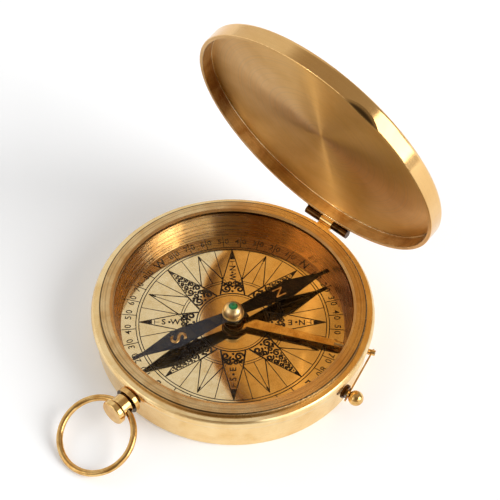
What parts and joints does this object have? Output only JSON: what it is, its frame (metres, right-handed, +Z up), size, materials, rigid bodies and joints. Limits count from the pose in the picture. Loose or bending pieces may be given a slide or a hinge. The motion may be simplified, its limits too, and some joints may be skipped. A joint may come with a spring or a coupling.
{
  "type": "pocket compass",
  "caption": "Round brass pocket compass: hinged lid, glass over a printed dial, turning magnetic needle, side needle lock, crown and bow ring.",
  "frame": {"origin": "middle of the case's flat base, on the case's turning axis", "axes": "+Z up out of the dial, +Y towards the lid's hinge, +X along the hinge pin"},
  "size_m": [0.0814, 0.1049, 0.0885],
  "materials": {
    "polished_brass": "lathe-turned and polished",
    "dial_brass": "mirror polished, printed in black",
    "dark_brass": "tarnished, glossy",
    "blued_steel": "blue-black, satin",
    "green_stone": "polished stone",
    "clear_glass": "clear, flat",
    "bright_steel": "ground point"
  },
  "bodies": {
    "case": {"case_cup": "polished_brass", "dial_plate": "dial_brass", "liner_ring": "polished_brass", "crystal": "clear_glass", "bezel_ring": "polished_brass", "pivot_post": "bright_steel", "pivot_nut": "polished_brass", "lever_bush": "polished_brass", "crown": "polished_brass", "crown_collar": "polished_brass", "case_knuckle": "dark_brass", "hinge_pin": "dark_brass"},
    "lid": {"lid_shell": "polished_brass", "lid_knuckles": "dark_brass"},
    "bow": {"bow_ring": "polished_brass"},
    "needle": {"needle_blade": "blued_steel", "needle_collet": "polished_brass", "needle_cap": "polished_brass", "needle_jewel": "green_stone"},
    "lock": {"lift_lever": "polished_brass", "lock_wire": "polished_brass", "lock_knob": "polished_brass"}
  },
  "joints": [
    {"name": "lid_hinge", "type": "hinge", "parent": "case", "child": "lid", "pos_m": [0, 0.0397, 0.0118], "axis": [-1, 0, 0], "range_deg": [-75.3, 35]},
    {"name": "bow_swing", "type": "hinge", "parent": "case", "child": "bow", "pos_m": [-0.00152, -0.04157, 0.0085], "axis": [-0.9993, 0.0366, 0], "range_deg": [-82, 114]},
    {"name": "needle_turn", "type": "hinge", "parent": "case", "child": "needle", "pos_m": [0, 0, 0.0083], "axis": [0, 0, 1], "continuous": true},
    {"name": "lock_turn", "type": "hinge", "parent": "case", "child": "lock", "pos_m": [0.03162, 0.01501, 0.00565], "axis": [0.9033, 0.4289, 0], "range_deg": [0, 12]}
  ]
}
